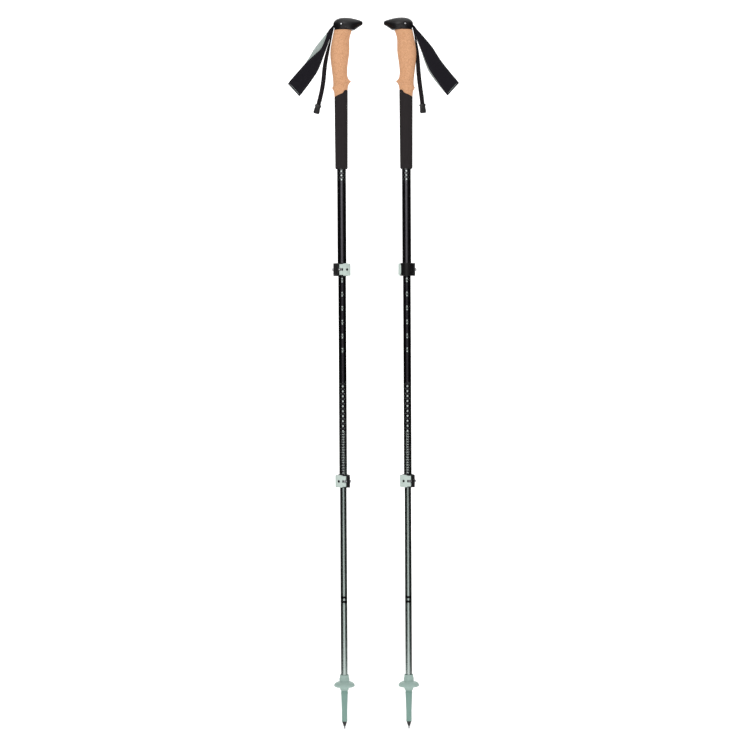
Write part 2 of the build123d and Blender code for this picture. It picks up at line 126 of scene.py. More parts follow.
def skin(name, rows, material, closed_along=False):
    """A tube of quads over rows of points that each go round a section, with the ends capped."""
    count, around = len(rows), len(rows[0])
    points = [p for row in rows for p in row]
    faces = []
    for i in range(count if closed_along else count - 1):
        for j in range(around):
            a, b = i * around, ((i + 1) % count) * around
            faces.append((a + j, a + (j + 1) % around, b + (j + 1) % around, b + j))
    if not closed_along:
        faces += [tuple(range(around)), tuple((count - 1) * around + j for j in range(around))]
    piece = new_piece(name, points, faces, material)
    outward(piece)
    return piece


def baked(piece):
    """The piece with its modifiers worked out, as a plain mesh."""
    shown = piece.evaluated_get(bpy.context.evaluated_depsgraph_get())
    mesh = bpy.data.meshes.new_from_object(shown)
    piece.modifiers.clear()
    old, piece.data = piece.data, mesh
    mesh.name = piece.name
    bpy.data.meshes.remove(old)
    return piece


def softened(node, name, material, voxel, relax):
    """An even closed mesh in the shape of a CAD node, its hard edges eased as a moulding's are."""
    work = bmesh.new()
    work.from_mesh(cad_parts[node].data)
    bmesh.ops.remove_doubles(work, verts=work.verts, dist=1e-6)
    mesh = bpy.data.meshes.new(name)
    work.to_mesh(mesh)
    work.free()
    mesh.materials.clear()
    mesh.materials.append(material)
    piece = bpy.data.objects.new(name, mesh)
    bpy.context.collection.objects.link(piece)
    remesh = piece.modifiers.new("even quads", "REMESH")
    remesh.mode, remesh.voxel_size = "VOXEL", voxel
    smooth = piece.modifiers.new("eased edges", "SMOOTH")
    smooth.factor, smooth.iterations = 0.5, relax
    baked(piece)
    piece.data.materials.clear()
    piece.data.materials.append(material)
    piece.data.shade_smooth()
    return piece


def settle(piece, body, slot, *nodes):
    """Rides the piece on its body and hides the nodes it stands for. `slot` is not used."""
    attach(piece, body)
    if nodes:
        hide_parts(*nodes)


# %% [markdown]
# ## A short way to write shader nodes
# Every finish below is a few nodes in front of one Principled shader. `Finish` makes the material,
# sets the plain values on the shader's own sockets and gives short calls for the sums between.

# %% Material helper
class Finish:
    def __init__(self, name, colour, roughness, metallic=0.0, **sockets):
        self.material = bpy.data.materials.new(name)
        self.material.use_nodes = True
        self.tree = self.material.node_tree
        self.shader = self.tree.nodes["Principled BSDF"]
        self.shader.inputs["Base Color"].default_value = (*colour, 1)
        self.shader.inputs["Roughness"].default_value = roughness
        self.shader.inputs["Metallic"].default_value = metallic
        for socket, value in sockets.items():
            self.shader.inputs[socket.replace("_", " ")].default_value = value

    def node(self, kind, **settings):
        made = self.tree.nodes.new(kind)
        for name, value in settings.items():
            if hasattr(made, name):
                setattr(made, name, value)
            else:
                self.put(value, made.inputs[name.replace("_", " ")])
        return made

    def put(self, value, socket):
        if isinstance(value, bpy.types.NodeSocket):
            self.tree.links.new(value, socket)
        else:
            socket.default_value = value

    def sum(self, operation, *values):
        made = self.tree.nodes.new("ShaderNodeMath")
        made.operation = operation
        for value, socket in zip(values, made.inputs):
            self.put(value, socket)
        return made.outputs[0]

    def place(self, shift=(0, 0, 0)):
        """Object coordinates, moved so that a pattern is centred where it is wanted."""
        source = self.node("ShaderNodeTexCoord")
        mapping = self.node("ShaderNodeMapping", Location=shift)
        self.put(source.outputs["Object"], mapping.inputs["Vector"])
        return mapping.outputs["Vector"]

    def uv(self):
        """The piece's own flat map, in millimetres: across and along."""
        made = self.node("ShaderNodeSeparateXYZ")
        self.put(self.node("ShaderNodeUVMap", uv_map="flat").outputs["UV"], made.inputs[0])
        return made.outputs["X"], made.outputs["Y"]

    def grain(self, scale, detail=2.0, where=None):
        made = self.node("ShaderNodeTexNoise", Scale=scale, Detail=detail)
        self.put(where or self.place(), made.inputs["Vector"])
        return made.outputs["Fac"]

    def mix(self, factor, one, other):
        made = self.node("ShaderNodeMix", data_type="RGBA")
        self.put(factor, made.inputs[0])
        self.put(one if isinstance(one, bpy.types.NodeSocket) else (*one, 1), made.inputs[6])
        self.put(other if isinstance(other, bpy.types.NodeSocket) else (*other, 1), made.inputs[7])
        return made.outputs[2]

    def colour(self, value):
        self.put(value, self.shader.inputs["Base Color"])

    def roughness(self, value, least, most):
        made = self.node("ShaderNodeMapRange", To_Min=least, To_Max=most)
        self.put(value, made.inputs["Value"])
        self.put(made.outputs["Result"], self.shader.inputs["Roughness"])

    def bump(self, height, depth, strength=0.6):
        """A fine relief, `depth` metres from its lowest to its highest."""
        made = self.node("ShaderNodeBump", Strength=strength, Distance=depth)
        self.put(height, made.inputs["Height"])
        self.put(made.outputs["Normal"], self.shader.inputs["Normal"])


# %% [markdown]
# ## Cork, foam and moulded plastic
# Pressed cork is granules of one to two millimetres, each a little lighter or darker, with a few
# dark specks and small pits. Foam and moulded plastic show only a fine grain and a soft gloss, so
# their relief is shallower than a hair.

# %% Grip finishes
def cork_finish():
    cork = Finish("pressed cork", (0.70, 0.36, 0.185), 0.78)
    where = cork.place()
    granules = cork.node("ShaderNodeTexVoronoi", Scale=620.0)
    cork.put(where, granules.inputs["Vector"])
    tone = cork.node("ShaderNodeSeparateXYZ")
    cork.put(granules.outputs["Color"], tone.inputs[0])
    body = cork.mix(tone.outputs["X"], (0.62, 0.30, 0.145), (0.79, 0.43, 0.235))
    cloudy = cork.mix(cork.sum("MULTIPLY", cork.grain(90.0, 3.0, where), 0.5), body, (0.74, 0.40, 0.22))
    speck = cork.sum("GREATER_THAN", cork.grain(760.0, 1.0, where), 0.685)
    cork.colour(cork.mix(cork.sum("MULTIPLY", speck, 0.62), cloudy, (0.26, 0.11, 0.05)))
    cork.bump(cork.sum("SUBTRACT", granules.outputs["Distance"], cork.sum("MULTIPLY", speck, 0.8)), 0.00025)
    return cork.material


def grained(name, colour, roughness, scale=1800.0, depth=0.00008, **sockets):
    """A moulded or foamed surface: one colour, a fine grain and a roughness that varies a little."""
    made = Finish(name, colour, roughness, **sockets)
    grain = made.grain(scale, 3.0)
    made.roughness(made.grain(60.0), roughness - 0.06, roughness + 0.06)
    made.bump(grain, depth)
    return made.material


cork = cork_finish()
foam = grained("black foam", (0.026, 0.022, 0.023), 0.86, 1300.0, 0.00025, Specular_IOR_Level=0.12)
cap_black = grained("cap moulding", (0.007, 0.0062, 0.007), 0.34, 2200.0, 0.00003, Specular_IOR_Level=0.38)
lock_black = grained("lock body", (0.006, 0.0055, 0.006), 0.40, Specular_IOR_Level=0.3)
mint = grained("mint lever", (0.56, 0.66, 0.61), 0.40, 1500.0, 0.00003)
ferrule_green = grained("ferrule", (0.205, 0.345, 0.298), 0.45, 1500.0, 0.00004)
basket_green = grained("basket", (0.35, 0.475, 0.43), 0.45, 1500.0, 0.00004)
tip_black = grained("tip holder", (0.014, 0.013, 0.014), 0.5)
inner_grey = grained("inner plastic", (0.06, 0.06, 0.065), 0.55)
print("grip finishes:", cork.name, foam.name, cap_black.name)


# %% [markdown]
# ## Woven finishes
# Webbing is warp threads along its length that dip under weft threads across it. Two sine waves on
# the piece's own flat map, one shifted by half a thread on every other row, give that relief, and it
# turns and bends with the strap because the map does.

# %% Woven finishes
def woven_finish(name, colour, light, thread, gloss=0.12):
    """Plain weave with threads `thread` millimetres apart."""
    cloth = Finish(name, colour, 0.85, Specular_IOR_Level=gloss)
    across, along = cloth.uv()
    turn = 2 * math.pi / thread
    warp = cloth.sum("SINE", cloth.sum("MULTIPLY", across, turn))
    weft = cloth.sum("SINE", cloth.sum("MULTIPLY", along, turn))
    weave = cloth.sum("MULTIPLY_ADD", cloth.sum("MULTIPLY", warp, weft), 0.5, 0.5)
    fibre = cloth.grain(2600.0, 2.0)
    relief = cloth.sum("MULTIPLY_ADD", fibre, 0.3, weave)
    cloth.colour(cloth.mix(cloth.sum("MULTIPLY", weave, fibre), colour, light))
    cloth.bump(relief, 0.00022, 0.8)
    return cloth.material


webbing = woven_finish("black webbing", (0.008, 0.007, 0.010), (0.024, 0.022, 0.029), 1.3)
tape = woven_finish("black tape", (0.011, 0.009, 0.011), (0.030, 0.026, 0.029), 0.9)
lining = woven_finish("grey green lining", (0.40, 0.46, 0.44), (0.58, 0.65, 0.62), 1.1)
thread = grained("thread", (0.035, 0.034, 0.04), 0.7, 3000.0, 0.00002)
print("woven finishes:", webbing.name, tape.name, lining.name)


# %% [markdown]
# ## Metal and print
# The shafts are anodised aluminium: dark, brushed along their length and glossy enough to mirror the
# studio as long stripes. They carry pale print: a band of dots below the foam and, on the middle
# shafts, a scale of marks under the lock, then rows of dots and a fine grid. Print is a pattern on
# the round of the tube, so each one is written in two measures: height, and millimetres round the
# shaft from its front.

# %% Shaft finishes
# radii, heights and print sizes in millimetres; heights are from the ground
UPPER_R, MIDDLE_R, LOWER_R = 8.0, 7.0, 6.0
UPPER_METAL = (0.125, 0.118, 0.132)
MIDDLE_METAL = (0.050, 0.046, 0.054)
LOWER_METAL = (0.40, 0.46, 0.43)
LOWER_PALE, LOWER_DARK = (0.46, 0.535, 0.505), (0.33, 0.38, 0.36)
PRINT = (0.72, 0.80, 0.76)
RING_BLACK = (0.014, 0.013, 0.015)
UPPER_BAND, SCALE_BAND = (984.5, 1007.0), (671.0, 816.0)
DOT_BAND, GRID_BAND = (537.0, 625.0), (400.0, 537.0)
SCALE_STEP, SCALE_START = 25.0, 670.0
LINE_HALF_WIDTH, LINE_REACH = 0.35, 3.2
SCALE_DOT, SCALE_DOT_OFFSET = 1.25, 2.9
GRID_PITCH, GRID_COLUMNS, RING_HALF, STAVE_HALF = 4.6, 12, 0.45, 0.4
LAST_RINGS = ((228.0, 232.0), (236.0, 240.0))
FADE_LOW, FADE_HIGH = 90.0, 440.0


def shaft_finish(name, side, radius, colour, roughness, metallic=1.0):
    """Returns the finish with its height and its distance round the shaft, both in millimetres."""
    made = Finish(name, colour, roughness, metallic)
    where = made.place((-axis_x[side], 0, 0))
    parts = made.node("ShaderNodeSeparateXYZ")
    made.put(where, parts.inputs[0])
    angle = made.sum("ARCTAN2", parts.outputs["X"], made.sum("MULTIPLY", parts.outputs["Y"], -1.0))
    around = made.sum("MULTIPLY", angle, radius)
    height = made.sum("MULTIPLY", parts.outputs["Z"], 1000.0)
    brushed = made.node("ShaderNodeMapping", Scale=(1.0, 1.0, 0.02))
    made.put(where, brushed.inputs["Vector"])
    lines = made.grain(3000.0, 2.0, brushed.outputs["Vector"])
    made.roughness(lines, roughness - 0.02, roughness + 0.03)
    made.bump(lines, 0.000004, 0.2)
    return made, height, around


def between(made, value, low_end, high_end):
    above = made.sum("GREATER_THAN", value, low_end)
    return made.sum("MULTIPLY", above, made.sum("LESS_THAN", value, high_end))


def off_centre(made, value, pitch, start=0.0):
    """How far a value is from the middle of its cell, in cells `pitch` long."""
    cell = made.sum("DIVIDE", made.sum("SUBTRACT", value, start), pitch)
    return made.sum("MULTIPLY", made.sum("SUBTRACT", made.sum("FRACT", cell), 0.5), pitch)


def dot(made, across, along, size):
    """1 inside a round dot of that radius."""
    squares = made.sum("ADD", made.sum("MULTIPLY", across, across), made.sum("MULTIPLY", along, along))
    return made.sum("LESS_THAN", made.sum("SQRT", squares), size)


def column_width(radius, columns):
    """How wide each of that many columns is round a shaft."""
    return 2 * math.pi * radius / columns


def staggered(made, around, height, column, pitch, start, size):
    """Rows of round dots, every other row moved by half a column."""
    across, along = off_centre(made, around, column, column / 2), off_centre(made, height, pitch, start)
    one = dot(made, across, along, size)
    across, along = off_centre(made, around, column), off_centre(made, height, pitch, start + pitch / 2)
    return made.sum("MAXIMUM", one, dot(made, across, along, size))


def upper_shaft_finish(side):
    """Near black, with a printed band of staggered dots below the foam."""
    made, height, around = shaft_finish(f"{side} upper shaft metal", side, UPPER_R, UPPER_METAL, 0.22)
    dots = staggered(made, around, height, column_width(UPPER_R, 8), 7.4, 983.6, 1.55)
    band = made.sum("MULTIPLY", dots, between(made, height, *UPPER_BAND))
    made.colour(made.mix(band, UPPER_METAL, PRINT))
    return made.material


def middle_shaft_finish(side):
    """Near black, with the length marks, the dots and the grid."""
    made, height, around = shaft_finish(f"{side} middle shaft metal", side, MIDDLE_R, MIDDLE_METAL, 0.26)
    step = off_centre(made, height, SCALE_STEP, SCALE_START)
    near_front = made.sum("LESS_THAN", made.sum("ABSOLUTE", around), LINE_REACH)
    on_line = made.sum("LESS_THAN", made.sum("ABSOLUTE", step), LINE_HALF_WIDTH)
    line = made.sum("MULTIPLY", on_line, near_front)
    beside = made.sum("SUBTRACT", made.sum("ABSOLUTE", step), SCALE_DOT_OFFSET)
    dots = dot(made, around, beside, SCALE_DOT)
    marks = made.sum("MULTIPLY", made.sum("MAXIMUM", line, dots), between(made, height, *SCALE_BAND))
    lots = staggered(made, around, height, column_width(MIDDLE_R, 6), 8.9, 533.0, 1.6)
    rows = made.sum("MULTIPLY", lots, between(made, height, *DOT_BAND))
    ring = made.sum("LESS_THAN", made.sum("ABSOLUTE", off_centre(made, height, GRID_PITCH)), RING_HALF)
    column = off_centre(made, around, column_width(MIDDLE_R, GRID_COLUMNS))
    stave = made.sum("LESS_THAN", made.sum("ABSOLUTE", column), STAVE_HALF)
    grid = made.sum("MULTIPLY", made.sum("MAXIMUM", ring, stave), between(made, height, *GRID_BAND))
    printed = made.sum("MAXIMUM", marks, made.sum("MAXIMUM", rows, grid))
    made.colour(made.mix(printed, MIDDLE_METAL, PRINT))
    return made.material


def lower_shaft_finish(side):
    """Grey green, darker towards the lock, with two plain dark rings where it slides in last."""
    made, height, _ = shaft_finish(f"{side} lower shaft metal", side, LOWER_R, LOWER_METAL, 0.24)
    fade = made.node("ShaderNodeMapRange", From_Min=FADE_LOW, From_Max=FADE_HIGH)
    made.put(height, fade.inputs["Value"])
    body = made.mix(fade.outputs["Result"], LOWER_PALE, LOWER_DARK)
    rings = made.sum("MAXIMUM", *[between(made, height, *ring) for ring in LAST_RINGS])
    made.colour(made.mix(rings, body, RING_BLACK))
    return made.material


steel = Finish("turned steel", (0.62, 0.62, 0.64), 0.28, 1.0)
steel.bump(steel.grain(900.0), 0.00002)
carbide = Finish("ground carbide", (0.30, 0.30, 0.32), 0.38, 1.0)
carbide.bump(carbide.grain(2500.0), 0.00004)

PLAIN = {"grip_core": inner_grey, "strap_wedge": inner_grey, "middle_guide_bush": inner_grey,
         "lower_guide_bush": inner_grey, "strap_anchor": webbing, "strap_pin": steel.material,
         "upper_hinge_pin": steel.material, "lower_hinge_pin": steel.material,
         "upper_clamp_screw": steel.material, "lower_clamp_screw": steel.material,
         "tip_ferrule": ferrule_green, "tip_holder": tip_black, "carbide_tip": carbide.material}
for side in SIDES:
    finishes = dict(PLAIN, upper_shaft=upper_shaft_finish(side), middle_shaft=middle_shaft_finish(side),
                    lower_shaft=lower_shaft_finish(side))
    for name, material in finishes.items():
        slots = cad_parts[f"{side}_{name}"].material_slots
        for slot in slots:
            slot.material = material
print("carried-over nodes painted:", len(finishes) * len(SIDES))


# %% [markdown]
# ## The tails of the straps
# The loose end of each strap's webbing hangs beside the grip and ends in a moulded stop. It is a
# flat tape, so it can be drawn as a line first: a smooth NURBS curve through a few chosen places.
# The tape then follows that line and twists, edge-on at the cap and facing forwards lower down.

# %% The tapes
TAPE_WIDTH, TAPE_THICK = 8.0 * MM, 1.2 * MM
ROUTES = {
    "left": [(-12.8, 1258.2), (-17.2, 1240.0), (-22.4, 1220.5), (-26.8, 1202.0), (-29.7, 1184.0),
             (-31.0, 1166.5), (-33.8, 1149.0), (-37.6, 1132.5), (-40.6, 1121.5)],
    "right": [(-12.8, 1258.2), (-17.0, 1242.0), (-19.6, 1224.0), (-21.2, 1205.0), (-22.0, 1186.0),
              (-23.6, 1167.0), (-26.0, 1148.0), (-28.4, 1131.5), (-29.2, 1122.0)],
}


def smooth_line(name, points):
    """Places along a NURBS curve that has these points as its control points."""
    curve = bpy.data.curves.new(name, "CURVE")
    curve.dimensions = "3D"
    curve.resolution_u = 8
    spline = curve.splines.new("NURBS")
    spline.points.add(len(points) - 1)
    for control, point in zip(spline.points, points):
        control.co = (*point, 1)
    spline.order_u = 3
    spline.use_endpoint_u = True
    holder = bpy.data.objects.new(name, curve)
    bpy.context.collection.objects.link(holder)
    drawn = bpy.data.meshes.new_from_object(holder.evaluated_get(bpy.context.evaluated_depsgraph_get()))
    line = [v.co.copy() for v in drawn.vertices]
    bpy.data.objects.remove(holder)
    bpy.data.meshes.remove(drawn)
    return line


def lengths_along(line):
    steps = [(b - a).length for a, b in zip(line, line[1:])]
    return [0.0, *np.cumsum(steps)]


def flat_map(piece, measures):
    """Writes each point's (across, along) pair, in millimetres, as the piece's flat map."""
    layer = piece.data.uv_layers.new(name="flat")
    for loop in piece.data.loops:
        layer.data[loop.index].uv = measures[loop.vertex_index]


def tape_piece(side):
    line = smooth_line(f"{side} tape line", [on_pole(side, x, 0, z) for x, z in ROUTES[side]])
    along = lengths_along(line)
    turn = SIDES[side]
    rows, measures = [], []
    for i, here in enumerate(line):
        ahead = (line[min(i + 1, len(line) - 1)] - line[max(i - 1, 0)]).normalized()
        twist = math.radians(78) * (0.5 - 0.5 * math.cos(math.pi * min(1, along[i] / along[-1] * 1.6)))
        across = Vector((0, 1, 0)) * math.cos(twist) + Vector((turn, 0, 0)) * math.sin(twist)
        across = (across - ahead * across.dot(ahead)).normalized()
        out = ahead.cross(across)
        row = []
        for u, v in ((-1, 0), (-0.94, -1), (-0.5, -0.8), (0, -0.72), (0.5, -0.8), (0.94, -1),
                     (1, 0), (0.94, 1), (0.5, 0.8), (0, 0.72), (-0.5, 0.8), (-0.94, 1)):
            row.append(here + across * u * TAPE_WIDTH / 2 + out * v * TAPE_THICK / 2)
            measures.append((u * 4.0, along[i] / MM))
        rows.append(row)
    piece = skin(f"{side}_tail_tape", rows, tape)
    flat_map(piece, measures)
    return piece, line, along[-1]


tapes = {side: tape_piece(side) for side in SIDES}


# %% [markdown]
# ## The stops on the tails
# The stop is a small moulding with a wide head, so that it can't be pulled back through the cap.
# Its outline is drawn once in the plane of the tape, thickened and rounded with a bevel, and four
# ridges stand out on each face of its body for the fingertips.

# %% The stops
STOP_OUTLINE = [(0, -4.4), (2.2, -6.2), (4.2, -4.9), (14.0, -5.6), (16.6, -4.6), (16.6, 4.6),
                (14.0, 5.6), (4.2, 4.9), (2.2, 6.2), (0, 4.4)]
RIDGES, RIDGE_PITCH = 4, 2.6


def stop_piece(side):
    (x0, z0), (x1, z1) = ROUTES[side][-2:]
    down = Vector((x1 - x0, 0, z1 - z0)).normalized()
    wide = Vector((-down.z, 0, down.x))

    def at(along, across, out):
        return on_pole(side, *(Vector((x1, 0, z1)) + down * along + wide * across + Vector((0, out, 0))))

    rows = [[at(a, b, y) for a, b in STOP_OUTLINE] for y in (-1.7, 1.7)]
    piece = skin(f"{side}_tail_end_stop", rows, cap_black)
    for ridge in range(RIDGES):
        start = 6.0 + ridge * RIDGE_PITCH
        for face in (-1, 1):
            corners = [(start, -3.8), (start + 1.2, -3.8), (start + 1.2, 3.8), (start, 3.8)]
            bar = skin("ridge", [[at(a, b, face * y) for a, b in corners] for y in (1.4, 2.1)], cap_black)
            with bpy.context.temp_override(active_object=piece, selected_editable_objects=[piece, bar]):
                bpy.ops.object.join()
    bevel = piece.modifiers.new("rounded", "BEVEL")
    bevel.width, bevel.segments, bevel.limit_method = 0.45 * MM, 3, "ANGLE"
    baked(piece)
    outward(piece)
    return piece


for side in SIDES:
    stop = stop_piece(side)
    settle(stop, f"{side}_strap", "stop_plastic", f"{side}_strap_tail_stop")
    piece, line, length = tapes[side]
    settle(piece, f"{side}_strap", "tape", f"{side}_strap_tail")
    print(side, "tape:", round(length, 4), "m")


# %% [markdown]
# ## The wrist straps
# Each strap is one loop of wide webbing. Its two halves leave the cap on top of each other, open out
# for the wrist and meet again in a sharp crease at the far end. Every station below is one place
# along a half: its outer edge and its inner edge, seen from the side of the pole, and how far it
# stands from the middle plane. Smooth curves through the stations give the two edges, and the
# webbing between them is a thin closed skin with a rounded, thicker binding at both edges.

# %% Strap stations
# (outer edge x, z), (inner edge x, z), distance from the middle plane, all in millimetres
NEAR_HALF = [
    ((-12.6, 1263.2), (-11.8, 1261.8), 0.7), ((-20.3, 1256.0), (-14.4, 1251.6), 1.5),
    ((-24.3, 1247.0), (-18.2, 1240.4), 2.6), ((-30.1, 1231.2), (-24.4, 1225.2), 4.2),
    ((-36.4, 1219.4), (-29.2, 1212.6), 5.6), ((-47.4, 1209.2), (-34.0, 1197.6), 6.8),
    ((-62.8, 1194.8), (-41.6, 1180.0), 7.0), ((-79.0, 1177.2), (-54.8, 1161.0), 5.4),
    ((-90.8, 1164.2), (-68.4, 1143.8), 2.6), ((-94.6, 1159.4), (-74.2, 1137.0), 1.3),
]
FAR_HALF = [
    ((-12.6, 1263.2), (-11.8, 1261.8), 0.7), ((-20.6, 1254.6), (-15.6, 1250.4), 1.5),
    ((-29.6, 1244.0), (-19.8, 1238.0), 2.6), ((-38.0, 1234.0), (-25.6, 1222.0), 4.2),
    ((-47.8, 1221.6), (-30.6, 1209.4), 5.6), ((-55.2, 1209.6), (-36.0, 1195.0), 6.8),
    ((-64.6, 1195.4), (-43.6, 1179.0), 7.0), ((-79.4, 1177.0), (-56.4, 1160.4), 5.4),
    ((-90.8, 1164.0), (-68.8, 1143.6), 2.6), ((-94.6, 1159.4), (-74.2, 1137.0), 1.3),
]
WEBBING_THICK, LINING_THICK = 1.3, 0.9
STEPS = 7                            # rows between two stations


def eased(stations, steps):
    """A smooth curve through every station, by the Catmull-Rom rule."""
    knots = np.array(stations, dtype=float)
    knots = np.vstack([2 * knots[0] - knots[1], knots, 2 * knots[-1] - knots[-2]])
    out = []
    for i in range(1, len(knots) - 2):
        a, b, c, d = knots[i - 1:i + 3]
        for t in np.linspace(0, 1, steps, endpoint=False):
            out.append(0.5 * (2 * b + (c - a) * t + (2 * a - 5 * b + 4 * c - d) * t ** 2
                              + (3 * b - a - 3 * c + d) * t ** 3))
    out.append(knots[-2])
    return out


def strap_rows(half, facing):
    """For each row of a half: outer edge, inner edge and the way its outer face looks."""
    numbers = [(*outer, *inner, facing * away) for outer, inner, away in half]
    rows = []
    for i, (ox, oz, ix, iz, y) in enumerate(eased(numbers, STEPS)):
        twist = max(0.0, 1 - i / (1.6 * STEPS))
        flat = math.cos(twist * math.pi / 2)
        middle = Vector(((ox + ix) / 2, y, (oz + iz) / 2))
        across = Vector(((ox - ix) / 2, 0, (oz - iz) / 2))
        width = max(across.length, 3.4)
        across = across.normalized() * width * flat + Vector((0, -facing * 4.6 * (1 - flat), 0))
        rows.append((middle, across))
    return rows


def loop_rows():
    """Both halves as one run: down the near half, round the crease and back up the far half."""
    down, back = strap_rows(NEAR_HALF, -1), strap_rows(FAR_HALF, 1)
    crease_middle, crease_across = down[-1]
    along = Vector((crease_across.z, 0, -crease_across.x)).normalized()
    turned = []
    for angle in (-60, -30, 0, 30, 60):
        push = 1.3 * math.cos(math.radians(angle))
        sideways = 1.3 * math.sin(math.radians(angle))
        middle = Vector((crease_middle.x, sideways, crease_middle.z)) + along * push
        turned.append((middle, crease_across.copy()))
    return down + turned + back[::-1]


print("strap stations:", len(NEAR_HALF), "a half")


# %% [markdown]
# A row of the strap's section is worked out from the way the strap runs there. The lining is a
# second, softer skin on the inside of the loop, a little narrower than the webbing, and it puffs up
# between its stitched edges.

# %% The straps
def section_frames(rows):
    """Each row's middle, half width across and unit way out of the loop."""
    frames = []
    for i, (middle, across) in enumerate(rows):
        ahead = (rows[min(i + 1, len(rows) - 1)][0] - rows[max(i - 1, 0)][0]).normalized()
        out = across.cross(ahead).normalized()
        frames.append((middle, across, out))
    return frames


def strap_skin(side, name, frames, profile, material, first=0, last=None):
    """A skin whose section is `profile`: (across, out) pairs, across from -1 to 1, out in mm."""
    rows, measures, along = [], [], 0.0
    used = frames[first:last]
    for i, (middle, across, out) in enumerate(used):
        along += (middle - used[i - 1][0]).length if i else 0.0
        rows.append([on_pole(side, *(middle + across * a + out * o)) for a, o in profile])
        measures += [(a * across.length, along) for a, o in profile]
    piece = skin(name, rows, material)
    flat_map(piece, measures)
    return piece


def webbing_profile():
    """Flat in the middle, with a rounded binding along both edges."""
    half = WEBBING_THICK / 2
    top = [(-0.97, half + 0.15), (-0.90, half + 0.25), (-0.84, half), (-0.5, half), (0.0, half), (0.5, half),
           (0.84, half), (0.90, half + 0.25), (0.97, half + 0.15)]
    return [(-1.0, 0)] + top + [(1.0, 0)] + [(a, -o) for a, o in reversed(top)]


def lining_profile():
    """A cushion on the inner face: thickest in the middle, thin at its edges."""
    inner = -WEBBING_THICK / 2
    edge = 0.97
    places = np.linspace(-edge, edge, 11)
    puffed = [(a, inner - 0.4 - LINING_THICK * (1 - (a / edge) ** 4)) for a in places]
    return [(a, inner + 0.1) for a in places[::-1]] + puffed


frames = section_frames(loop_rows())
for side in SIDES:
    outer = strap_skin(side, f"{side}_strap_webbing", frames, webbing_profile(), webbing)
    ends = int(1.6 * STEPS)
    pad = strap_skin(side, f"{side}_strap_lining", frames, lining_profile(), lining, ends, -ends)
    settle(outer, f"{side}_strap", "webbing", f"{side}_wrist_strap")
    settle(pad, f"{side}_strap", "webbing")
print("strap rows:", len(frames))


# %% [markdown]
# ## Stitching
# A row of stitches holds the binding down along each edge. Geometry Nodes suit it: a line on the
# strap's face goes in, the tree sets a short rounded thread at even steps along it, turned to
# follow it, and the result is made into a plain mesh.

# %% Stitch tree
STITCH_SEGMENTS, STITCH_RINGS = 8, 6


def stitch_tree():
    tree = bpy.data.node_groups.new("stitch row", "GeometryNodeTree")
    sockets = tree.interface
    sockets.new_socket("Line", in_out="INPUT", socket_type="NodeSocketGeometry")
    for name, value in (("Step", 2.6 * MM), ("Stitch length", 1.8 * MM), ("Thread radius", 0.24 * MM)):
        sockets.new_socket(name, in_out="INPUT", socket_type="NodeSocketFloat").default_value = value
    sockets.new_socket("Material", in_out="INPUT", socket_type="NodeSocketMaterial")
    sockets.new_socket("Stitches", in_out="OUTPUT", socket_type="NodeSocketGeometry")
    nodes, link = tree.nodes, tree.links.new
    given, result = nodes.new("NodeGroupInput"), nodes.new("NodeGroupOutput")
    line = nodes.new("GeometryNodeMeshToCurve")
    spaced = nodes.new("GeometryNodeResampleCurve")
    spaced.mode = "LENGTH"
    stitch = nodes.new("GeometryNodeMeshUVSphere")
    stitch.inputs["Segments"].default_value = STITCH_SEGMENTS
    stitch.inputs["Rings"].default_value = STITCH_RINGS
    longer = nodes.new("ShaderNodeMath")
    longer.operation = "DIVIDE"
    shape = nodes.new("ShaderNodeCombineXYZ")
    shape.inputs["X"].default_value = 1.0
    shape.inputs["Y"].default_value = 1.0
    half = nodes.new("ShaderNodeMath")
    half.operation = "MULTIPLY"
    half.inputs[1].default_value = 0.5
    turned = nodes.new("FunctionNodeAlignRotationToVector")
    turned.axis = "Z"
    tangent = nodes.new("GeometryNodeInputTangent")
    sewn = nodes.new("GeometryNodeInstanceOnPoints")
    real = nodes.new("GeometryNodeRealizeInstances")
    paint = nodes.new("GeometryNodeSetMaterial")
    link(given.outputs["Line"], line.inputs["Mesh"])
    link(line.outputs["Curve"], spaced.inputs["Curve"])
    link(given.outputs["Step"], spaced.inputs["Length"])
    link(given.outputs["Thread radius"], stitch.inputs["Radius"])
    link(given.outputs["Stitch length"], half.inputs[0])
    link(half.outputs[0], longer.inputs[0])
    link(given.outputs["Thread radius"], longer.inputs[1])
    link(longer.outputs[0], shape.inputs["Z"])
    link(tangent.outputs["Tangent"], turned.inputs["Vector"])
    link(spaced.outputs["Curve"], sewn.inputs["Points"])
    link(stitch.outputs["Mesh"], sewn.inputs["Instance"])
    link(turned.outputs["Rotation"], sewn.inputs["Rotation"])
    link(shape.outputs["Vector"], sewn.inputs["Scale"])
    link(sewn.outputs["Instances"], real.inputs["Geometry"])
    link(real.outputs["Geometry"], paint.inputs["Geometry"])
    link(given.outputs["Material"], paint.inputs["Material"])
    link(paint.outputs["Geometry"], result.inputs["Stitches"])
    return tree


def grown(name, points, edges, tree, **values):
    """An object of points and edges, run through a tree with the named inputs set."""
    mesh = bpy.data.meshes.new(name)
    mesh.from_pydata([tuple(p) for p in points], edges, [])
    piece = bpy.data.objects.new(name, mesh)
    bpy.context.collection.objects.link(piece)
    modifier = piece.modifiers.new(tree.name, "NODES")
    modifier.node_group = tree
    named = {item.name: item.identifier for item in tree.interface.items_tree if item.in_out == "INPUT"}
    for label, value in values.items():
        modifier[named[label.replace("_", " ")]] = value
    baked(piece)
    piece.data.shade_smooth()
    return piece


